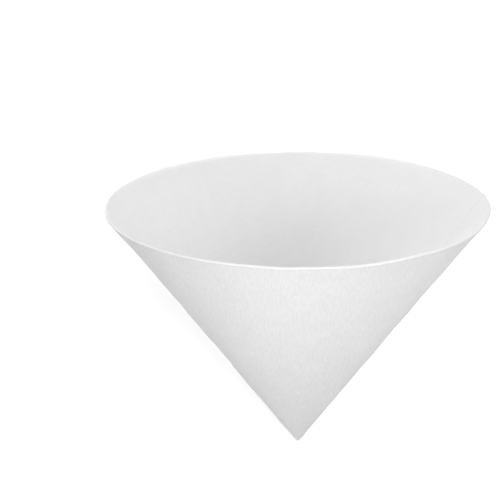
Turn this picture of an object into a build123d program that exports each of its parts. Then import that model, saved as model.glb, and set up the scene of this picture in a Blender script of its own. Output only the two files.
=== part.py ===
from build123d import *
import os
from math import atan, atan2, cos, degrees, floor, radians, sin, sqrt, tan

# Fryer oil filter cone: one blank of non-woven filter stock, folded in two, crimped along its
# open edges and opened out. Millimetres, +Z up. The cone lies on its side, mouth towards +X,
# on a narrow strip that its own weight presses flat. The origin is on the floor, under the
# middle of its box. It is drawn upright, tip down on the origin, and laid down at the end.

# The cone
mouth_diameter = 254.0
half_angle = 36.9  # degrees, between the axis and the wall
sheet_thickness = 1.3
tip_width = 2.0  # the folded tip ends blunt

# The strip that it lies on, measured at the mouth: it narrows to nothing at the tip
rest_width = 28.0
rest_blend = 40.0  # radius that leads from the strip into the round wall

# The fold down the middle of the blank, opened out again
fold_angle = 100.0  # degrees round the axis, counted from the resting strip
fold_bend = 10.0  # degrees that the sheet still turns at the fold

# The crimped seam opposite the fold, turned down beside the wall
seam_width = 6.5
seam_thickness = 1.0  # two layers, pressed
seam_gap = 0.15  # between the wall and the root of the seam
seam_lift = 2.5  # degrees that its free edge springs up
seam_start = 4.0  # from the tip, along the wall
seam_snip = 14.0  # length over which its corner is cut back at the tip
root_width = 1.2  # where the turned edges leave the wall

# The groove inside, where the two edges turn outwards
closing_width = 0.9
closing_depth = 0.45

# The marks of the crimping wheel
rung_length = 4.0  # across the seam
rung_width = 1.7
rung_pitch = 3.5
rung_depth = 0.3
rung_inset = 0.5  # from the line where the seam leaves the wall
rung_end_gap = 2.5  # from the last mark to the mouth

# Modelling allowances
overshoot = 1.05  # the walls run past the mouth before the blank's arc cuts them
throat_room = 1.1  # the flattened hollow stops where its blends are nearly used up
tip_ledge = 0.15  # radius at which the hollow's plain tip ends
tip_overlap = 2.0

# What follows from them
mouth_radius = mouth_diameter / 2
lean = radians(half_angle)
slant = mouth_radius / sin(lean)
height = slant * cos(lean)
past_mouth = slant * overshoot
wall_inset = sheet_thickness / cos(lean)
throat = throat_room * wall_inset / rest_blend
groove_start = 2 * throat * slant
root_depth = sheet_thickness / 2
seam_rise = tan(radians(seam_lift))
strip_reach = rest_blend + sqrt((mouth_radius - rest_blend) ** 2 - (rest_width / 2) ** 2)
strip_lean = atan(strip_reach / height)
blend_turn = degrees(atan2(rest_width / 2, strip_reach - rest_blend))

# Directions at the seam: along it to the mouth, sideways round to the strip, and outwards
seam_angle = fold_angle + 180
seam_turn = radians(seam_angle)
along = Vector(sin(lean) * cos(seam_turn), sin(lean) * sin(seam_turn), cos(lean))
sideways = Vector(-sin(seam_turn), cos(seam_turn), 0)
outwards = sideways.cross(along)


def around(angle, radius):
    """A point of a level section, at an angle from the resting strip."""
    return (radius * cos(radians(angle)), radius * sin(radians(angle)))


def section(share, inset=0.0):
    """The cone's level outline at a share of its height, drawn inwards by an inset."""
    radius = share * mouth_radius - inset
    reach = share * strip_reach - inset
    blend = share * rest_blend - inset
    side = share * rest_width / 2
    middle = share * (strip_reach - rest_blend)
    before, after = fold_angle - fold_bend / 2, fold_angle + fold_bend / 2
    ridge = around(fold_angle, radius / cos(radians(fold_bend / 2)))
    edges = [
        Line((reach, -side), (reach, side)),
        CenterArc((middle, side), blend, 0, blend_turn),
        CenterArc((0, 0), radius, blend_turn, before - blend_turn),
        Line(around(before, radius), ridge),
        Line(ridge, around(after, radius)),
        CenterArc((0, 0), radius, after, seam_angle - after),
        CenterArc((0, 0), radius, seam_angle, 360 - blend_turn - seam_angle),
        CenterArc((middle, -side), blend, 360 - blend_turn, blend_turn),
    ]
    return Wire(edges).moved(Location((0, 0, share * height)))


def is_straight(edge):
    return abs(edge.length - (edge @ 1 - edge @ 0).length) < 1e-6


def with_true_planes(form):
    """The same solid, with each four-sided straight facet as a plane."""
    faces = []
    for face in form.faces():
        edges = face.outer_wire().order_edges()
        if len(edges) == 4 and all(is_straight(edge) for edge in edges):
            corners = [edge @ 0 for edge in edges]
            face = make_face(Polyline(*corners, close=True)).face()
        faces.append(face)
    return Solid(Shell(faces))


def filled_cone():
    """The outside of the sheet, filled, from its blunt tip to past the mouth."""
    tip = section(tip_width / mouth_diameter)
    return with_true_planes(Solid.make_loft([tip, section(overshoot)], ruled=True))


def hollow():
    """The space inside the sheet, with a plain round tip below its throat."""
    walls = [section(throat, wall_inset), section(overshoot**2, wall_inset)]
    room = with_true_planes(Solid.make_loft(walls, ruled=True))
    bottom = (sheet_thickness + tip_ledge) / sin(lean)
    top = throat * height + tip_overlap
    point = Cone(tip_ledge, tip_ledge + (top - bottom) * tan(lean), top - bottom)
    return room + Pos(0, 0, (bottom + top) / 2) * point


def across_seam(distance):
    """A plane square to the seam, at a distance from the tip: X sideways and Y outwards."""
    return Plane(origin=along * distance, x_dir=sideways, z_dir=-along)


def seam_profile():
    """The turned root in the wall, with a round back, and the pressed layers beside it."""
    half_root = root_width / 2
    top = seam_gap + seam_thickness
    back = half_root + seam_thickness / 2
    corners = [
        (0, top),
        (seam_width, top + seam_width * seam_rise),
        (seam_width, seam_gap + seam_width * seam_rise),
        (half_root, seam_gap + half_root * seam_rise),
        (half_root, -root_depth),
        (-back, -root_depth),
        (-back, top - back),
    ]
    fold = RadiusArc((-back, top - back), (0, top), back)
    return make_face(Polyline(*corners) + fold)


def snipped_corner():
    """What is cut from the seam's corner at the tip, so that it ends clear of the floor."""
    plan = Plane(origin=(0, 0, 0), x_dir=sideways, z_dir=outwards)
    far_side = 2 * seam_width
    far_end = seam_start + seam_snip * (far_side - root_width) / (seam_width - root_width)
    corners = [(root_width, 0), (root_width, seam_start), (far_side, far_end), (far_side, 0)]
    face = plan * make_face(Polyline(*corners, close=True))
    return extrude(face, amount=seam_width, both=True)


def rung_marks():
    """The crimping wheel's marks, in a row from the mouth to the snipped corner."""
    room = slant - rung_end_gap - seam_start - seam_snip
    middle = rung_inset + rung_length / 2
    surface = seam_gap + seam_thickness + middle * seam_rise
    marks = []
    for number in range(floor(room / rung_pitch)):
        plane = across_seam(slant - rung_end_gap - rung_width / 2 - number * rung_pitch)
        place = plane * Pos(middle, surface, 0) * Rot(Z=seam_lift)
        marks.append(place * Box(rung_length, 2 * rung_depth, rung_width))
    return marks


def seam():
    """The crimped seam, from the tip to past the mouth."""
    strip = extrude(across_seam(past_mouth) * seam_profile(), amount=past_mouth - seam_start)
    return strip - snipped_corner() - rung_marks()


def closing_groove():
    """The V-shaped groove that the turned edges leave inside."""
    half = closing_width / 2
    inside = -sheet_thickness
    corners = [
        (-half, inside - closing_depth),
        (-half, inside),
        (0, inside + closing_depth),
        (half, inside),
        (half, inside - closing_depth),
    ]
    face = across_seam(past_mouth) * make_face(Polyline(*corners, close=True))
    return extrude(face, amount=past_mouth - groove_start)


def upright_cone():
    """The whole sheet, cut at the mouth by the blank's arc, which is square to the sheet."""
    sheet = filled_cone() + seam() - hollow() - closing_groove()
    return (sheet & Sphere(slant)).solid()


def laid_down(cone):
    """Rests the cone on its strip, and puts the origin under the middle of its box."""
    cone = Rot(Y=90 - degrees(strip_lean)) * cone
    middle = cone.bounding_box().center()
    return Pos(-middle.X, -middle.Y, 0) * cone


os.makedirs("parts", exist_ok=True)
filter_cone = laid_down(upright_cone())
export_step(filter_cone, "parts/filter_cone.step")

box = filter_cone.bounding_box()
blank_area = slant * radians(360 * sin(lean)) * slant / 2
print(f"slant {slant:.2f}, upright height {height:.2f}, blank {blank_area / 1e6:.4f} m2")
print(f"box {box.size.X:.2f} x {box.size.Y:.2f} x {box.size.Z:.2f}, lowest {box.min.Z:.4f}")
print(f"volume {filter_cone.volume / 1000:.2f} cm3, {len(filter_cone.faces())} faces")
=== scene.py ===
# %% [markdown]
# # A filter cone for frying oil
# The object is one blank of white non-woven stock, folded in two, crimped along its open edges
# and opened out into a cone. It is limp, so by itself it lies on its side, and its own weight
# presses a narrow strip of the wall flat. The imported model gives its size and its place.
# This lesson dresses it: a true thin sheet, a crimped seam, the look of pressed fibres, and a
# bright, soft studio. Everything is in metres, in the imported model's own frame.

from math import atan, atan2, cos, degrees, pi, radians, sin, sqrt, tan

import bpy
import numpy as np
from mathutils import Matrix, Vector


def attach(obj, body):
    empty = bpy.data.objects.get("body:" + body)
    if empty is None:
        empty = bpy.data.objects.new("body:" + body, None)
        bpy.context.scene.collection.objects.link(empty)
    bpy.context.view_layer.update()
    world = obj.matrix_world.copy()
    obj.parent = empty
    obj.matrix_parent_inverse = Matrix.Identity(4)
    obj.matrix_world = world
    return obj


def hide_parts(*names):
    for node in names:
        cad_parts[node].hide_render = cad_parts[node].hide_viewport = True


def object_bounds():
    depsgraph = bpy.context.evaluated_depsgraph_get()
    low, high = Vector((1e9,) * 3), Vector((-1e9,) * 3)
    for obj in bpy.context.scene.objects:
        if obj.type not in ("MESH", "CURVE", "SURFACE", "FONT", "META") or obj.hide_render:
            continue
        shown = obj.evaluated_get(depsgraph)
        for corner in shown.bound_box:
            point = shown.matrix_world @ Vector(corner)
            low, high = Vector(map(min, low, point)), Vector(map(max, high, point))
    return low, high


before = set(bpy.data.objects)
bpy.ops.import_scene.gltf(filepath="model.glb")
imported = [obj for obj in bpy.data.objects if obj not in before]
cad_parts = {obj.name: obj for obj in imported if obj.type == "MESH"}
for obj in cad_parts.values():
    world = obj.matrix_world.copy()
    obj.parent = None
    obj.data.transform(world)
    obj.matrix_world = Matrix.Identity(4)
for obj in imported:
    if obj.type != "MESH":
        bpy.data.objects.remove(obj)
cad_low, cad_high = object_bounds()
print("CAD box", [round(x, 4) for x in (*cad_low, *cad_high)])

# %% [markdown]
# ## The sizes that the sheet follows
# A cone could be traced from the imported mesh, but then every dent and thickness would be fixed.
# A formula is better here, because the wall is made of straight lines from the tip to the
# mouth: one angle round the axis picks a line, and one distance from the tip picks a point on
# it. So a few numbers are enough: the mouth, the slope of the wall, the flat strip that the
# cone rests on, and the fold opposite the seam.

# %% Sizes of the cone
mouth_radius = 0.127
half_angle = radians(36.9)  # between the axis and the wall
thickness = 0.0013
strip_width = 0.028  # at the mouth
strip_blend = 0.040  # radius that leads from the strip into the round wall
fold_angle = radians(100)  # round the axis, counted from the middle of the strip
fold_turn = radians(3.5)  # the sheet's bend on each side of the fold
seam_angle = fold_angle + pi

slant = mouth_radius / sin(half_angle)
height = slant * cos(half_angle)
blend_middle = mouth_radius - strip_blend
blend_turn = np.arcsin(strip_width / 2 / blend_middle)
strip_reach = strip_blend + blend_middle * cos(blend_turn)
strip_lean = atan(strip_reach / height)  # the axis rises this steeply when the cone lies
tip = Vector((cad_high.x - slant, 0, 0))
print(f"slant {slant * 1000:.1f} mm, axis at {degrees(strip_lean):.2f} degrees")

# %% [markdown]
# ## The camera
# A picture matches a photograph only from the same place. The mouth's oval and the two straight
# sides are enough to find it: they fix where the mouth's centre and the cone's axis are, as the
# camera sees them. The code turns those two directions into the frame's own directions. The
# standing cone of the photograph lies down here, so the camera goes round with it and looks
# down on the cone. Then the picture is the same.

# %% Place the camera
frame_pixels = 500
focal_pixels = 2200  # the lens, counted in pixels of such a picture
sensor_width = 36  # in millimetres, as Blender counts it
mouth_seen = Vector((0.0314, -0.0291, 1.4507))  # right, down and forward of the camera
axis_seen = Vector((-0.0074, -0.9478, -0.3188)).normalized()

axis = Vector((cos(strip_lean), 0, sin(strip_lean)))
front = Vector((-sin(strip_lean), 0, cos(strip_lean)))  # square to the axis, to the viewer
mouth_centre = tip + axis * height
front_seen = (-mouth_seen + axis_seen * mouth_seen.dot(axis_seen)).normalized()
here = Matrix((axis, front, axis.cross(front))).transposed()
seen = Matrix((axis_seen, front_seen, axis_seen.cross(front_seen)))
turned = here @ seen

camera = bpy.data.objects.new("camera", bpy.data.cameras.new("camera"))
bpy.context.scene.collection.objects.link(camera)
camera.data.sensor_width = sensor_width
camera.data.lens = sensor_width * focal_pixels / frame_pixels
camera.data.clip_end = 20
right_up_back = ((1, 0, 0), (0, -1, 0), (0, 0, -1))  # Blender's camera looks along its own -Z
columns = [turned @ Vector(way) for way in right_up_back]
place = Matrix.Translation(mouth_centre - turned @ mouth_seen)
camera.matrix_world = place @ Matrix(columns).transposed().to_4x4()
bpy.context.scene.camera = camera
print("camera at", [round(x, 3) for x in camera.matrix_world.translation])

# %% [markdown]
# ## The wall's outline
# Seen along the axis, the wall's outline is a circle with a flat strip, two arcs that lead out
# of the strip, and a low ridge where the blank was folded. It could be drawn as a curve, but
# its distance from the axis, angle by angle, is all that the wall needs. A real sheet is never
# quite round either, so a few slow waves are added, half a millimetre at most. They fade out at
# the strip, which the floor keeps flat, and at the seam.

# %% Outline of the mouth
fold_softness = radians(0.12)  # spreads the fold over half a millimetre or so
wave_height = 0.0003
waves = ((2, 0.9, 1.0), (3, 2.6, 0.7), (5, 4.1, 0.4), (9, 1.3, 0.16))  # number, start, share
wave_fade_strip, wave_fade_seam = 0.5, 0.4  # radians beside each, where the waves set in


def turn_from(angle, middle=0.0):
    """The turn between an angle and a middle, the short way round."""
    return np.abs((angle - middle + pi) % (2 * pi) - pi)


def off_strip(angle, fade):
    """0 on the resting strip and its two arcs, rising to 1 over a fade beside them."""
    return np.clip((turn_from(angle) - blend_turn) / fade, 0, 1)


def outline(angle):
    """Distance of the outer wall from the axis at the mouth, for angles round the axis."""
    across = turn_from(angle)
    off_arc = np.clip(across - blend_turn, -blend_turn, blend_turn)
    arc = blend_middle * np.cos(off_arc) + np.sqrt(
        strip_blend**2 - (blend_middle * np.sin(off_arc)) ** 2
    )
    flat = strip_reach / np.cos(np.minimum(across, blend_turn))
    radius = np.where(across < blend_turn, arc, mouth_radius)
    radius = np.where(across < atan2(strip_width / 2, strip_reach), flat, radius)
    off_fold = np.sqrt(turn_from(angle, fold_angle) ** 2 + fold_softness**2)
    ridge = mouth_radius / np.cos(np.clip(fold_turn - off_fold, 0, None))
    calm = off_strip(angle, wave_fade_strip) ** 2
    calm = calm * np.clip(turn_from(angle, seam_angle) / wave_fade_seam, 0, 1) ** 2
    wavy = sum(share * np.sin(n * angle + start) for n, start, share in waves)
    return np.maximum(radius, ridge * (off_fold < fold_turn)) + wave_height * calm * wavy


sample = outline(np.array([0, fold_angle, pi, seam_angle]))
print("outline at strip, fold, top and seam", np.round(sample * 1000, 2).tolist(), "mm")

# %% [markdown]
# ## The wall's straight lines
# The wall is drawn upright, with the tip at the bottom, because the formulas are simplest
# there, and laid down afterwards. Each line has a direction and a normal. The normal could be
# worked out by hand for each part of the outline, but two neighbouring lines give it as well.
# The thickness and the dents are measured along it.

# %% Directions on the wall, and the way it lies
nudge = 1e-4  # radians to each neighbouring line


def wall_lines(angle):
    """Unit vectors from the tip along the outer wall, and the wall's outward normals."""

    def line(at):
        radius = outline(at)
        rise = np.full_like(at, height)
        along = np.stack([radius * np.cos(at), radius * np.sin(at), rise], -1)
        return along / np.linalg.norm(along, axis=-1, keepdims=True)

    normal = np.cross(line(angle + nudge) - line(angle - nudge), line(angle))
    return line(angle), normal / np.linalg.norm(normal, axis=-1, keepdims=True)


def laid_down(points):
    """Turns points of the upright cone so that it lies on its strip, in the frame's place."""
    turn = pi / 2 - strip_lean
    x, y, z = np.moveaxis(points, -1, 0)
    lying = (cos(turn) * x + sin(turn) * z + tip.x, y, cos(turn) * z - sin(turn) * x)
    return np.stack(lying, -1)


sample = laid_down(wall_lines(np.array([0.0, pi]))[1]) - np.array(tip)
print("normals at the strip and opposite", np.round(sample, 3).tolist())

# %% [markdown]
# ## The sheet
# A thickened single surface would be quick, but its cut edge would be sharp and dead flat. The
# cut edge is the brightest line of the picture, so the sheet is built as a closed skin: up the
# outside, over a softly rounded edge, and down the inside to the tip. Its section is a list of
# rows. They stand close together at the tip and at the rim, where the shape changes fast. The
# edge of such bulky stock springs open a little where the knife went through, so the last
# millimetres swell.

# %% Profile of the sheet from the tip, over the cut edge, back to the tip
edge_round = 0.00045
edge_swell = 0.00022  # each side
swell_length = 0.0024
tip_end = 0.0017  # first row outside
inner_room = 0.0004  # from the hollow's point to the last row inside
inner_tip = thickness / tan(half_angle) + inner_room
near_tip_end, wall_start = 0.020, 0.023
near_tip_rows, wall_rows, swell_rows = 14, 70, 7
round_rows, cut_rows = 6, 5


def step_up(x, start, end):
    """0 before start, 1 after end, with a soft rise between."""
    t = np.clip((x - start) / (end - start), 0, 1)
    return t * t * (3 - 2 * t)


def swell(distance):
    """How much each face of the sheet stands out near the cut edge."""
    return edge_swell * step_up(distance, slant - swell_length, slant)


def sheet_profile():
    """Rows of (distance from the tip, depth below the outer face, 1 for the inner side)."""
    near_tip = np.geomspace(tip_end, near_tip_end, near_tip_rows)
    up_wall = np.linspace(wall_start, slant - swell_length, wall_rows)[:-1]
    swollen = np.linspace(slant - swell_length, slant - edge_round, swell_rows)
    rise = np.r_[near_tip, up_wall, swollen]
    top, low = swell(slant), thickness + swell(slant)
    turns = np.linspace(0, pi / 2, round_rows)[1:]
    ends = slant - edge_round * (1 - np.sin(turns))
    drops = edge_round * (1 - np.cos(turns))
    across = np.linspace(edge_round - top, low - edge_round, cut_rows)[1:-1]
    fall = rise[rise > inner_tip][::-1]
    return (
        [(d, -swell(d), 0) for d in rise]
        + [(d, drop - top, 0) for d, drop in zip(ends, drops)]
        + [(slant, depth, 0) for depth in across]
        + [(d, low - drop, 1) for d, drop in zip(ends[::-1], drops[::-1])]
        + [(d, thickness + swell(d), 1) for d in fall]
        + [(inner_tip, thickness, 1)]
    )


profile = np.array(sheet_profile())
distance, depth, inner = (profile[:, i : i + 1] for i in range(3))
print(f"{len(profile)} rows from tip to tip")

# %% [markdown]
# ## Where the cut edge springs open
# All the way round, the rim could look the same, but on the real one it doesn't. Away from the
# fold and the seam the edge is open and swells. Its colour is paler there, partly from the loose
# fibres and partly as a painted highlight, and the same shows as a thin lip inside. Near the fold
# and the
# seam the stock was pressed hardest: the edge stays closed there, and its colour is a painted
# shade, darker than the wall. One measure of how far the edge is sprung drives both its thickness
# and this painted light in its colour, so that the two always change together.

# %% The open and the pressed stretches of the edge
pressed_turn, sprung_turn = 0.3, 1.0  # sines of the turn from the fold or the seam
lip_full, lip_end = 0.0011, 0.0026  # the pale lip inside, from the cut edge: partly loose fibres, partly painted highlight
painted_edge_shade = 1.1  # how dark the painted shade of the pressed edge is, against how pale the open one is
round_from, past_round = slant - edge_round * 1.01, slant - 0.99 * edge_round


def sprung(turn):
    """How far the cut edge springs open: 0 at the fold and the seam, 1 halfway between them."""
    return step_up(np.abs(np.sin(turn)), pressed_turn, sprung_turn)


def fibre_paleness_and_painted_light(distance, inner, turn):
    """1 on the cut edge where it springs open, fading inside: loose fibres and painted highlight.
    Below 0 where it is pressed: painted shade.
    """
    # The lip and the open edge are paler, partly from loose fibres and partly as painted
    # highlight; the pressed edge is painted shade.
    lip = step_up(distance, slant - lip_end, slant - lip_full) * sprung(turn)
    edge = sprung(turn) * (1 + painted_edge_shade) - painted_edge_shade
    return np.where(inner > 0, lip, (distance > past_round) * edge)


sample = sprung(np.radians([0, 30, 60, 90]))
print("edge open at 0, 30, 60 and 90 degrees from the seam", np.round(sample, 2).tolist())

# %% [markdown]
# ## Columns: evenly round the cone, and closer at the fold and the seam
# Columns could all stand at fixed angles, but the groove that the turned edges leave inside the
# seam is as wide near the tip as at the mouth. So the columns beside the seam are placed in
# millimetres from it, and only near the tip, where there is no room, do they draw together.

# %% The columns' angles, row by row
beside_seam = np.array([0.00015, 0.0003, 0.00045, 0.0007, 0.0014])
free_zone = 3.2  # degrees on each side of the seam that no fixed column stands in
column_step = 0.8
fold_zone, fold_step = 6, 0.2  # degrees, for the finer columns at the fold
crowded = 1.3  # columns draw together where the free zone is less than 1.3 times their spread
slack = 1e-4  # radians

free_turn = radians(free_zone)
even = np.radians(np.arange(free_zone, 360, column_step))
at_fold = pi + np.radians(np.arange(-fold_zone, fold_zone + 0.01, fold_step))
fixed = np.unique(np.round(np.r_[even, at_fold], 5))
fixed = fixed[(fixed >= free_turn - slack) & (fixed <= 2 * pi - free_turn + slack)]


def column_turns(distance):
    """Angles counted from the seam, for one row: from 0 up to just short of a full turn."""
    crowd = min(1, distance * sin(half_angle) * free_turn / (crowded * beside_seam[-1]))
    near = beside_seam * crowd / (distance * sin(half_angle))
    return np.r_[0, near, fixed, 2 * pi - near[::-1]]


turns = np.array([column_turns(d) for d in profile[:, 0]])
count = turns.shape[1]
print(f"{count} columns")

# %% [markdown]
# ## Dents
# Slow, shallow dents keep the sheet from looking like plastic: half a millimetre at most, and
# mostly a tenth. They could be painted or sculpted, but a sum of sine waves over the flat blank,
# with seeded directions, gives the same sheet on every run. A place on the blank is also what
# the material needs later: the blank is the cone's natural map, because a cone unrolls without
# any stretch.

# %% Places on the flat blank, and the dents
dent_height = 0.000045
dent_count = 40
dent_shortest, dent_longest = 0.012, 0.06  # from crest to crest
dent_evenness = 100  # a wave of 2 * pi / 100 metres has the full height, and shorter ones less
dent_fade_strip, dent_fade_tip, dent_fade_seam = 0.25, 0.04, 0.2  # radians, metres, radians

rng = np.random.default_rng(12)
dent_waves = [
    (
        2 * pi / rng.uniform(dent_shortest, dent_longest),
        rng.uniform(0, 2 * pi),
        rng.uniform(0, 2 * pi),
    )
    for _ in range(dent_count)
]


def blank_place(distance, turn):
    """Where a point of the wall lies on the flat blank, whose cut edges meet at the seam."""
    flat_turn = turn * sin(half_angle)
    return distance * np.cos(flat_turn), distance * np.sin(flat_turn)


def dents(distance, turn):
    """Height of the shallow dents, with none at the tip, the seam or the resting strip."""
    x, y = blank_place(distance, turn)
    total = sum(
        np.sin(n * (x * cos(way) + y * sin(way)) + start) / sqrt(n / dent_evenness)
        for n, way, start in dent_waves
    )
    calm = off_strip(turn + seam_angle, dent_fade_strip) * np.clip(distance / dent_fade_tip, 0, 1)
    off_seam = np.minimum(turn, 2 * pi - turn)
    return dent_height * total * calm * np.clip(off_seam / dent_fade_seam, 0, 1)


print(f"dents up to {np.abs(dents(distance, turns)).max() * 1000:.2f} mm")

# %% [markdown]
# ## The draw-in and the crease
# A limp cone is held open by its rim, so between the tip and the rim the wall draws in a little,
# 0.7 mm at most, but not where the floor carries it. And a blank that was folded flat keeps the
# fine line of its crease when it is opened: a quarter of a millimetre high, and a little paler,
# because the fibres have come loose there. The crease could be a texture, but a real ridge
# catches the light from any side.

# %% Draw-in of the wall, and the line along the fold
sag_depth = 0.0011
sag_power = 6  # the higher, the nearer to the rim the wall stays drawn in
sag_fade_strip = 0.5  # radians beside the strip
crease_height = 0.00025
crease_width = 0.0006
crease_paleness = 0.55
crease_start, crease_full = 0.01, 0.02  # from the tip


def sag(distance, turn):
    """How far the limp wall draws in between the tip and the rim, but not on the floor."""
    share = distance / slant
    calm = off_strip(turn + seam_angle, sag_fade_strip) ** 2
    return sag_depth * share * (1 - share**sag_power) * calm


def crease(distance, turn):
    """1 on the pressed line of the fold, falling away within a millimetre on each side."""
    off_fold = (turn - pi) * distance * sin(half_angle)
    ridge = np.exp(-((off_fold / crease_width) ** 2))
    return ridge * step_up(distance, crease_start, crease_full)


print(f"draw-in up to {sag(distance, turns).max() * 1000:.2f} mm")

# %% [markdown]
# ## Points of the sheet
# Every row and column now meet in a point: out along its line, and then off the wall by what the
# dents, the draw-in, the crease, the groove and the sheet's own depth add up to. Modifiers could
# add each of these in turn, but here they are plain heights along one normal, so a sum is
# enough. The knife's cut is left a little uneven. What the floor would cut off is pressed flat.

# %% Points of the sheet
groove_width, groove_depth = 0.0006, 0.0002
groove_start = 0.018
cut_roughness = 0.00003

half = thickness / 2
swollen = half + swell(distance)
depth = half + (depth - half) * (half + swell(distance) * sprung(turns)) / swollen
off_seam = np.minimum(turns, 2 * pi - turns) * distance * sin(half_angle)
groove = groove_depth * np.clip(1 - off_seam / (groove_width / 2), 0, 1)
groove = groove * inner * (distance > groove_start)
cut_edge = (distance > round_from) * rng.normal(0, cut_roughness, turns.shape)
out = dents(distance, turns) - sag(distance, turns) + crease_height * crease(distance, turns)
out = out + cut_edge + groove - depth

lines, normals = wall_lines(seam_angle + turns)
points = laid_down(distance[..., None] * lines + out[..., None] * normals)
points[..., 2] = np.maximum(points[..., 2], 0)
tip_outside, tip_inside = tip_end * cos(half_angle), thickness / sin(half_angle)
ends = laid_down(np.array([[0, 0, tip_outside], [0, 0, tip_inside]]))
print("sheet's lowest point", points[..., 2].min())

# %% [markdown]
# ## From rows and columns to a mesh
# A grid of points becomes a mesh by naming each square's four corners. The same helper closes
# the round for the sheet and for the seam. Every corner also gets its place on the flat blank.
# The last column has no points of its own: its squares end on the first column's points, but
# their map places go on to the full turn.

# %% Grid helpers
sharp_turn = radians(50)  # two faces that meet more steeply show a hard edge


def grid_faces(rows, columns):
    """Corner numbers of a grid that closes on itself sideways, one square after another."""
    r, c = np.meshgrid(np.arange(rows - 1), np.arange(columns), indexing="ij")
    n = (c + 1) % columns
    corners = (r * columns + c, r * columns + n, (r + 1) * columns + n, (r + 1) * columns + c)
    return np.stack(corners, -1).reshape(-1, 4)


def grid_places(low, high):
    """Map places of the same squares, from (row, column + 1) places of both edges of a row."""
    corners = (low[:, :-1], low[:, 1:], high[:, 1:], high[:, :-1])
    return np.stack(corners, 2).reshape(-1, 2)


def add_piece(name, points, faces, places):
    """A smooth mesh piece with its map of the blank, which rides on the one body."""
    mesh = bpy.data.meshes.new(name)
    mesh.from_pydata(points.tolist(), [], [list(map(int, face)) for face in faces])
    blank = mesh.uv_layers.new(name="blank")
    blank.uv.foreach_set("vector", np.asarray(places, np.float32).ravel())
    mesh.shade_smooth()
    mesh.set_sharp_from_angle(angle=sharp_turn)
    piece = bpy.data.objects.new(name, mesh)
    bpy.context.scene.collection.objects.link(piece)
    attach(piece, "root")
    print(f"{name}: {len(mesh.vertices)} points, {len(mesh.polygons)} faces")
    return piece


print("a grid of 3 rows and 4 columns has", len(grid_faces(3, 4)), "squares")

# %% [markdown]
# ## Build the sheet
# The rows and columns become the sheet's skin. Two fans of triangles close it, one at the
# outside of the tip and one at the inside. The inner face's map lies a metre beside the outer
# face's, so that the two don't carry the same fibres. How pale the sheet is gets stored point by
# point on the mesh, where the material can read it: loose fibres and the crease, with the painted
# highlight of the open cut edge and the painted shade of the pressed one. A painted mask could
# hold it too, but the mesh is fine enough.

# %% Build the sheet
inner_map = np.array([0, 1.0])
round_turns = np.c_[turns, np.full(len(turns), 2 * pi)]
map_places = np.stack(blank_place(distance, round_turns), -1)
low_places = map_places[:-1] + inner[1:, :, None] * inner_map
high_places = map_places[1:] + inner[1:, :, None] * inner_map
faces = grid_faces(len(profile), count).tolist()
places = grid_places(low_places, high_places).tolist()

last = (len(profile) - 1) * count
outside_end, inside_end = len(profile) * count, len(profile) * count + 1
for c in range(count):
    after = (c + 1) % count
    faces.append((after, c, outside_end))
    places += [map_places[0, c + 1], map_places[0, c], (0, 0)]
    faces.append((last + c, last + after, inside_end))
    places += [map_places[-1, c] + inner_map, map_places[-1, c + 1] + inner_map, inner_map]
sheet = add_piece("filter_sheet", np.r_[points.reshape(-1, 3), ends], faces, places)
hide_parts("filter_cone")

# Paleness of loose fibres and of the crease, plus the painted highlight and painted shade along
# the cut edge.
paleness_and_painted_light = fibre_paleness_and_painted_light(distance, inner, turns) + crease_paleness * crease(distance, turns)
paleness_and_painted_light = np.r_[paleness_and_painted_light.ravel(), 0, 0]
sheet.data.attributes.new("fibre_paleness_and_painted_light", "FLOAT", "POINT").data.foreach_set("value", paleness_and_painted_light)

# %% [markdown]
# ## The crimped seam
# The blank's two open edges are pressed together by a toothed wheel and turned down beside the
# wall. On the real cone that is a band about 6 mm wide: a row of short pressed rungs next to
# the wall, a plain margin outside them, and a free edge that shows both layers. The rungs could
# be a bump texture, but a band this close to the edge of the picture shows its profile, so they
# are real dents in the mesh.

# %% Sizes of the seam
seam_width = 0.0065
seam_thickness = 0.0010  # two layers, pressed
seam_gap = 0.00015  # between the wall and the root of the seam
seam_rise = tan(radians(2.5))  # its free edge springs up
seam_start = 0.004  # from the tip
seam_snip = 0.014  # length over which its corner is cut back at the tip
root_width = 0.0012  # where the turned edges leave the wall
thin_share, thin_length = 0.4, 0.03  # the layers' thickness at the tip, and how soon it is full

rung_pitch = 0.0035
rung_width = 0.0017
rung_depth = 0.0003
rung_from, rung_to = 0.0005, 0.0045  # across the seam, from the wall
rung_top, rung_foot = rung_width * 0.32, rung_width * 0.62  # each flank, from the middle
rung_fade_outside, rung_fade_inside = 0.0002, 0.0003  # at both ends of a rung
rung_end_gap = 0.0025  # from the last rung to the mouth
first_rung_fade = 0.002  # along the seam, where the row begins
puff_height = 0.00006  # of the stock between two rungs

rung_room = slant - rung_end_gap - seam_start - seam_snip
print(f"seam {seam_width * 1000} mm wide, with room for {int(rung_room / rung_pitch)} rungs")

# %% [markdown]
# ## Section of the seam
# The seam is one section, drawn again and again along the line where it leaves the wall. A
# curve with a bevel would keep the same section all along, but this one changes: its corner is
# snipped off at the tip, its layers are thinner there, and each rung presses it in. So the
# section is a function of the distance from the tip. It runs round from the turned back, over
# the top, down the free edge, where the two layers part a little, and back below.

# %% Section of the seam
bend_points, flat_points, under_points = 7, 27, 12
edge_corner, under_corner = 0.0002, 0.0004  # the flat faces end this far from the free edge
free_edge = (  # how far in from the edge, and how high, as a share of half the thickness
    (0.0001, 0.94),
    (0, 0.6),
    (0.00003, 0.2),
    (0.0003, 0),  # between the two layers
    (0.00006, -0.2),
    (0.00002, -0.6),
    (0.00012, -0.94),
)


def seam_width_at(distance):
    """The seam's corner at the tip is snipped off at a slant."""
    share = np.clip((distance - seam_start) / seam_snip, 0, 1)
    return root_width + (seam_width - root_width) * share


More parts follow.
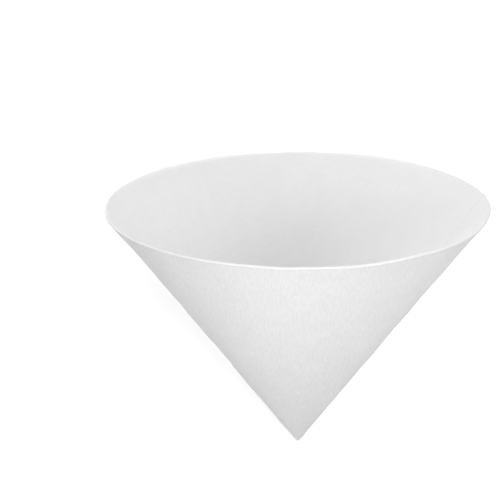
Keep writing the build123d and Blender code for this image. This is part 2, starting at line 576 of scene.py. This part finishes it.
def seam_thickness_at(distance):
    """The two layers are pressed thinner towards the tip, where the wheel ran off the blank."""
    full = step_up(distance, seam_start, seam_start + thin_length)
    return seam_thickness * (thin_share + (1 - thin_share) * full)


def rung_at(distance):
    """1 in the middle of a rung and 0 between two, along the seam."""
    from_end = slant - rung_end_gap - rung_width / 2 - distance
    off = np.abs((from_end + rung_pitch / 2) % rung_pitch - rung_pitch / 2)
    row_start = seam_start + seam_snip
    shown = step_up(distance, row_start, row_start + first_rung_fade)
    return (1 - step_up(off, rung_top, rung_foot)) * shown * (from_end > -rung_pitch / 2)


def rung_band(across):
    """1 along a rung's length and 0 beside the row, across the seam."""
    begins = step_up(across, rung_from - rung_fade_outside, rung_from + rung_fade_inside)
    ends = step_up(across, rung_to - rung_fade_inside, rung_to + rung_fade_outside)
    return begins * (1 - ends)


def seam_loop(distance):
    """The closed section of the seam at a distance from the tip: (sideways, outwards) pairs."""
    width, layers = seam_width_at(distance), seam_thickness_at(distance)
    top = seam_gap + layers
    back = root_width / 2 + layers / 2
    turns = np.linspace(0, pi / 2, bend_points)
    bend = [(-back + back * (1 - cos(a)), top - back + back * sin(a)) for a in turns]
    flat = np.linspace(0, 1, flat_points)[1:-1] * (width - edge_corner)
    press = rung_at(distance) * rung_depth
    puff = puff_height * np.sin(pi * np.clip(flat / rung_to, 0, 1)) * (1 - rung_at(distance))
    bands = zip(flat, rung_band(flat), puff)
    upper = [(u, top + u * seam_rise - press * band + p) for u, band, p in bands]
    half = layers / 2
    middle = seam_gap + half + width * seam_rise
    edge = [(width - inset, middle + half * share) for inset, share in free_edge]
    under = np.linspace(width - under_corner, root_width / 2, under_points)
    lower = [(u, seam_gap + u * seam_rise) for u in under]
    root = [(root_width / 2, -thickness / 2), (-back, -thickness / 2)]
    return bend + upper + edge + lower + root


print(f"the section has {len(seam_loop(slant))} points")

# %% [markdown]
# ## Build the seam
# The sections stand 0.4 mm apart, close enough for the flanks of the rungs, and follow the same
# draw-in as the wall beside them. A grid joins them as it did the sheet's rows, and one flat
# face closes each end. The seam could be joined to the sheet's own mesh, but as a piece with
# its root sunk half a sheet into the wall it needs no join, and it gets a look of its own.

# %% Build the seam
station_step = 0.0004
seam_map, end_maps = 2, (3, 3.1)  # metres beside the outer face's map

along, off_wall = (v[0] for v in wall_lines(np.array([seam_angle])))
sideways = np.cross(off_wall, along)
to_strip = np.array([-sin(seam_angle), cos(seam_angle), 0])
sideways = sideways * np.sign(sideways @ to_strip)
stations = np.r_[np.arange(seam_start, slant - station_step / 4, station_step), slant]
loops = np.array([seam_loop(d) for d in stations])
loops[..., 1] -= sag(stations, 0.0)[:, None]
seam_points = laid_down(
    stations[:, None, None] * along + loops[..., :1] * sideways + loops[..., 1:] * off_wall
)

size = loops.shape[1]
steps = np.linalg.norm(np.diff(loops[-1], axis=0, append=loops[-1][:1]), axis=1)
girth = np.r_[0, np.cumsum(steps)] + seam_map
map_places = np.stack(np.meshgrid(stations, girth, indexing="ij"), -1)
seam_faces = grid_faces(len(stations), size).tolist()
seam_places = grid_places(map_places[:-1], map_places[1:]).tolist()
last = (len(stations) - 1) * size
seam_faces += [list(reversed(range(size))), [last + k for k in range(size)]]
seam_places += [(u, end_maps[0] + v) for u, v in loops[0][::-1]]
seam_places += [(u, end_maps[1] + v) for u, v in loops[-1]]
seam = add_piece("crimped_seam", seam_points.reshape(-1, 3), seam_faces, seam_places)
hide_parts("filter_cone")

# %% [markdown]
# ## Helpers for nodes
# A material is a tree of nodes. Each one could be added and linked line by line, but a few
# helpers keep the recipes short enough to read: one adds a node and fills or links its inputs,
# and the others are the kinds of node that come again and again.

# %% Node helpers
def add_node(tree, kind, settings=None, **inputs):
    """Adds a node, sets its properties, and fills or links its inputs.

    An input goes by its name, with _ for a space, or by its number, such as _0.
    """
    node = tree.nodes.new(kind)
    for key, value in (settings or {}).items():
        setattr(node, key, value)
    for label, value in inputs.items():
        number = label[1:]
        socket = node.inputs[int(number) if number.isdigit() else label.replace("_", " ")]
        if isinstance(value, bpy.types.NodeSocket):
            tree.links.new(value, socket)
        else:
            socket.default_value = value
    return node


def maths(tree, operation, *values):
    """One maths node, for values or links."""
    named = {f"_{i}": value for i, value in enumerate(values)}
    return add_node(tree, "ShaderNodeMath", {"operation": operation}, **named).outputs[0]


def flat_noise(tree, place, **values):
    """Noise over a flat map, around 0.5."""
    kind, settings = "ShaderNodeTexNoise", {"noise_dimensions": "2D"}
    return add_node(tree, kind, settings, Vector=place, **values).outputs["Fac"]


def mix_colours(tree, share, first, second, **settings):
    """A blend of two colours, which are the node's inputs 6 and 7."""
    settings["data_type"] = "RGBA"
    inputs = {"Factor": share, "_6": first, "_7": second}
    return add_node(tree, "ShaderNodeMix", settings, **inputs).outputs[2]


def grey(value):
    """A grey as a colour, with its alpha."""
    return (value, value, value, 1)


print("a grey of 0.5 is", grey(0.5))

# %% [markdown]
# ## The look of pressed fibres
# Non-woven stock is a mat of short fibres. Close by, they show as fine streaks that mostly run
# one way. From further off, the mat is a little thicker here and thinner there, which gives it
# faint clouds. Both come from noise over the flat blank: stretched noise for the fibres and
# slow noise for the clouds. They sit in one node group, because the sheet and the seam share
# them, each with its own values.

# %% Node group for the fibre mat
FLOAT, VECTOR, COLOUR = "NodeSocketFloat", "NodeSocketVector", "NodeSocketColor"
paper_grey, thin_grey = 0.90, 0.82
streaks_per_metre = (160, 1100, 1)  # along and across the fibres: 6 by 1 mm
grains_per_metre, clouds_per_metre = 900.0, 55.0
fibre_part, grain_part = 0.65, 0.35  # of the relief


def new_group(name, inputs, outputs):
    """A shader node group. Inputs are given as (name, kind, value), outputs as (name, kind)."""
    group = bpy.data.node_groups.new(name, "ShaderNodeTree")
    for label, kind, value in inputs:
        socket = group.interface.new_socket(label, in_out="INPUT", socket_type=kind)
        if value is not None:
            socket.default_value = value
    for label, kind in outputs:
        group.interface.new_socket(label, in_out="OUTPUT", socket_type=kind)
    return group


fibre_mat = new_group(
    "fibre_mat",
    [
        ("Blank", VECTOR, None),
        ("Direction", FLOAT, 0.0),
        ("Streak", FLOAT, 0.5),
        ("Cloud", FLOAT, 0.5),
        ("Paper", COLOUR, grey(paper_grey)),
        ("Thin", COLOUR, grey(thin_grey)),
    ],
    [("Colour", COLOUR), ("Relief", FLOAT)],
)
into = fibre_mat.nodes.new("NodeGroupInput").outputs
leave = fibre_mat.nodes.new("NodeGroupOutput").inputs

turned_map = add_node(
    fibre_mat,
    "ShaderNodeVectorRotate",
    {"rotation_type": "Z_AXIS"},
    Vector=into["Blank"],
    Angle=into["Direction"],
).outputs[0]
drawn_out = add_node(
    fibre_mat, "ShaderNodeMapping", Vector=turned_map, Scale=streaks_per_metre
).outputs[0]
fibres = flat_noise(fibre_mat, drawn_out, Scale=1.0, Detail=3.0, Roughness=0.62, Distortion=0.6)
grain = flat_noise(fibre_mat, turned_map, Scale=grains_per_metre, Detail=3.0, Roughness=0.6)
clouds = flat_noise(fibre_mat, turned_map, Scale=clouds_per_metre, Detail=4.0, Roughness=0.75)

fibres = maths(fibre_mat, "MULTIPLY", fibres, fibre_part)
relief = maths(fibre_mat, "ADD", fibres, maths(fibre_mat, "MULTIPLY", grain, grain_part))
streaks = maths(fibre_mat, "SUBTRACT", relief, 0.5)
streaks = maths(fibre_mat, "MULTIPLY", streaks, into["Streak"])
patches = maths(fibre_mat, "SUBTRACT", clouds, 0.5)
patches = maths(fibre_mat, "MULTIPLY", patches, into["Cloud"])
tone = maths(fibre_mat, "ADD", maths(fibre_mat, "ADD", streaks, patches), 0.5)
colour = mix_colours(fibre_mat, tone, into["Thin"], into["Paper"])
fibre_mat.links.new(colour, leave["Colour"])
fibre_mat.links.new(relief, leave["Relief"])
print("fibre_mat has", len(fibre_mat.nodes), "nodes")

# %% [markdown]
# ## The sheet's material
# The stock is matt and nearly white. A little sheen stands for the loose fibre ends that catch
# the light where the wall turns away. The relief goes through a Bump node, because fibres are
# far finer than the mesh. The colour moves to a paler one where the mesh says so: partly loose
# fibres and the crease, partly a painted highlight on the open cut edge. It moves the other way,
# to a darker one, where the mesh gives a value below 0: that is painted shade on the pressed
# edge.

# %% Material of the sheet and of the seam
pale_fibre_and_highlight_grey = 0.955
paleness_and_light_share = 0.85  # how much of the pale colour a value of 1 brings: loose fibres and painted highlight
matt_finish = {
    "Roughness": 0.9,
    "Specular IOR Level": 0.25,
    "Sheen Weight": 0.08,
    "Sheen Roughness": 0.6,
}


def paper_material(name, direction, streak, cloud, relief_depth):
    """A matt, near-white mat of fibres. Its values differ for the sheet and the seam."""
    material = bpy.data.materials.new(name)
    material.use_nodes = True
    tree = material.node_tree
    shader = tree.nodes["Principled BSDF"]
    blank = add_node(tree, "ShaderNodeUVMap", {"uv_map": "blank"}).outputs[0]
    values = {"Blank": blank, "Direction": direction, "Streak": streak, "Cloud": cloud}
    mat = add_node(tree, "ShaderNodeGroup", {"node_tree": fibre_mat}, **values).outputs
    paleness_and_painted_light = add_node(tree, "ShaderNodeAttribute", {"attribute_name": "fibre_paleness_and_painted_light"})
    # Paler for loose fibres and painted highlight, darker below 0 for painted shade on the
    # pressed edge.
    share = maths(tree, "MULTIPLY", paleness_and_painted_light.outputs["Fac"], paleness_and_light_share)
    colour = mix_colours(tree, share, mat["Colour"], grey(pale_fibre_and_highlight_grey), clamp_factor=False)
    bump = add_node(tree, "ShaderNodeBump", Height=mat["Relief"], Distance=relief_depth)
    tree.links.new(colour, shader.inputs["Base Color"])
    tree.links.new(bump.outputs[0], shader.inputs["Normal"])
    for label, value in matt_finish.items():
        shader.inputs[label].default_value = value
    print(f"{name} has {len(tree.nodes)} nodes")
    return material


# %% [markdown]
# ## Dress the sheet and the seam
# On the sheet the fibres run up the front of the cone. The outside shows them most. The inside
# is smoother, and the cut edge takes its look. On the seam they run along the band. One
# material with a mask could do for all three, but three are easier to set, and each face
# simply names its own.

# %% Give the pieces their materials
front_on_blank = ((pi - seam_angle) % (2 * pi)) * sin(half_angle)  # turn from the seam
outside_look = paper_material(
    "pressed_fibre_outside", -front_on_blank, streak=4.0, cloud=0.5, relief_depth=0.0003
)
inside_look = paper_material(
    "pressed_fibre_inside", -front_on_blank, streak=1.6, cloud=0.5, relief_depth=0.00015
)
seam_look = paper_material("crimped_fibre", 0.0, streak=1.6, cloud=0.5, relief_depth=0.0002)
sheet.data.materials.append(outside_look)
sheet.data.materials.append(inside_look)
seam.data.materials.append(seam_look)

on_edge = np.minimum(profile[:-1, 0], profile[1:, 0]) > round_from
row_look = (on_edge | (inner[1:, 0] > 0)).astype(int)
face_look = np.r_[np.repeat(row_look, count), np.tile([0, 1], count)]
sheet.data.polygons.foreach_set("material_index", face_look.astype(np.int32))
print(f"{face_look.sum()} of {len(face_look)} faces have the inner look")

# %% [markdown]
# ## The floor
# The floor is white for the camera and a middling grey for the light that it throws back, so
# that it doesn't wash out the shade of the cone. The Light Path node tells the two apart, and
# the floor still keeps the soft shadow where the cone touches it. It glows a little by itself
# too, more with the distance, so that it runs out into plain white without a horizon. A
# brighter lamp would do that as well, but it would wash out the cone.

# %% The floor
floor_reach = 12.0  # half its side
floor_drop = 0.0002  # below the cone, so that no two faces share a plane
bounced_grey, shown_grey = 0.55, 0.95
glow_start, glow_end = 0.5, 1.4  # from the cone's middle
glow_low, glow_full = 0.28, 1.0


def seen_directly(tree):
    """1 for what the camera sees, also in a gloss or through glass, and 0 for other light."""
    path = add_node(tree, "ShaderNodeLightPath").outputs
    gloss = maths(tree, "MAXIMUM", path["Is Glossy Ray"], path["Is Transmission Ray"])
    return maths(tree, "MAXIMUM", path["Is Camera Ray"], gloss)


def floor_material():
    """White to the camera, grey to the light, and glowing more with the distance."""
    material = bpy.data.materials.new("pale_floor")
    material.use_nodes = True
    tree = material.node_tree
    shader = tree.nodes["Principled BSDF"]
    shown = seen_directly(tree)
    colour = mix_colours(tree, shown, grey(bounced_grey), grey(shown_grey))
    tree.links.new(colour, shader.inputs["Base Color"])
    shader.inputs["Roughness"].default_value = 1.0
    shader.inputs["Specular IOR Level"].default_value = 0.0
    shader.inputs["Emission Color"].default_value = grey(1)
    place = add_node(tree, "ShaderNodeTexCoord").outputs["Object"]
    away = add_node(tree, "ShaderNodeVectorMath", {"operation": "LENGTH"}, _0=place)
    ramp = (away.outputs["Value"], glow_start, glow_end, glow_low, glow_full)
    ramp = {f"_{i}": value for i, value in enumerate(ramp)}
    glow = add_node(tree, "ShaderNodeMapRange", **ramp).outputs[0]
    tree.links.new(maths(tree, "MULTIPLY", shown, glow), shader.inputs["Emission Strength"])
    return material


signs = ((-1, -1), (1, -1), (1, 1), (-1, 1))
floor_mesh = bpy.data.meshes.new("floor")
floor_corners = [(floor_reach * x, floor_reach * y, 0) for x, y in signs]
floor_mesh.from_pydata(floor_corners, [], [(0, 1, 2, 3)])
floor_mesh.materials.append(floor_material())
floor = bpy.data.objects.new("floor", floor_mesh)
floor.location.z = -floor_drop
bpy.context.scene.collection.objects.link(floor)
print(f"floor {2 * floor_reach} metres wide")

# %% [markdown]
# ## Lamps
# White paper on white needs soft light from one side more than the other, so that the round
# wall still turns from light to grey. One large lamp could do that, but then the outside and
# the inside of the cone would change together. Here a few soft lamps share the work: two weak
# ones in front of the wall, one above, three at the sides, and two that look into the mouth.
# None of them is seen by the camera.

# %% Lamps
lamps = {  # place, target, size, power in watts, spread in degrees
    "front_soft": ((-0.36, 0, 0.36), (-0.06, 0, 0.16), 0.25, 0.30, 180),
    "front_beam": ((-0.36, 0, 0.40), (-0.04, 0, 0.15), 0.20, 0.059, 60),
    "over_right": ((-0.5, -0.45, 1.10), (0, 0, 0.08), 0.35, 3.20, 180),
    "left": ((-0.4, 1.1, 0.6), (0, 0, 0.1), 0.8, 3.85, 180),
    "right": ((0.3, -1.2, 0.45), (0, 0, 0.08), 0.5, 3.25, 180),
    "top_right": ((0.1, -1.0, 1.0), (0, 0, 0.1), 0.8, 3.08, 180),
    "mouth": ((1.1, 0, 0.8), (0, 0, 0.1), 0.8, 4.16, 180),
    "mouth_left": ((0.9, 0.9, 0.3), (0, 0, 0.08), 0.5, 7.23, 180),
}


def area_lamp(name, place, target, size, power, spread):
    """A soft square lamp that looks at a target and stays out of the picture."""
    lamp = bpy.data.lights.new(name, "AREA")
    lamp.spread = radians(spread)
    lamp.size = size
    lamp.energy = power
    holder = bpy.data.objects.new(name, lamp)
    holder.location = place
    aim = Vector(target) - Vector(place)
    holder.rotation_euler = aim.to_track_quat("-Z", "Y").to_euler()
    holder.visible_camera = False
    bpy.context.scene.collection.objects.link(holder)


for name, values in lamps.items():
    area_lamp(name, *values)
print(f"{len(lamps)} lamps, {sum(values[3] for values in lamps.values()):.1f} watts together")

# %% [markdown]
# ## The world
# The world is the white that the camera sees beyond the floor. As a lamp it would be too flat,
# so for all other light it is only a quarter as strong. It fills the shadows without wiping
# out the shade.

# %% World and colours
ambient = 0.25
world = bpy.data.worlds.new("studio")
bpy.context.scene.world = world
world.use_nodes = True
sky = world.node_tree
background = sky.nodes["Background"].inputs
strength = maths(sky, "ADD", maths(sky, "MULTIPLY", seen_directly(sky), 1 - ambient), ambient)
background["Color"].default_value = grey(1)
sky.links.new(strength, background["Strength"])
bpy.context.scene.view_settings.view_transform = "Standard"
print("the world's strength for indirect light is", ambient)

# %% [markdown]
# ## What the sheet was cut from
# A flat blank has a size of its own, and here it is printed for the part that is made of sheet.
# It could be measured on the mesh, but the cone's slant and half angle give it exactly: a sector
# of a circle, which is more than half round, so it is as long as the circle is wide.

blank_turn = 2 * pi * sin(half_angle)
blank_width = slant * (1 - cos(blank_turn / 2))
print(f"blank {blank_width:.3f} by {2 * slant:.3f} metres")
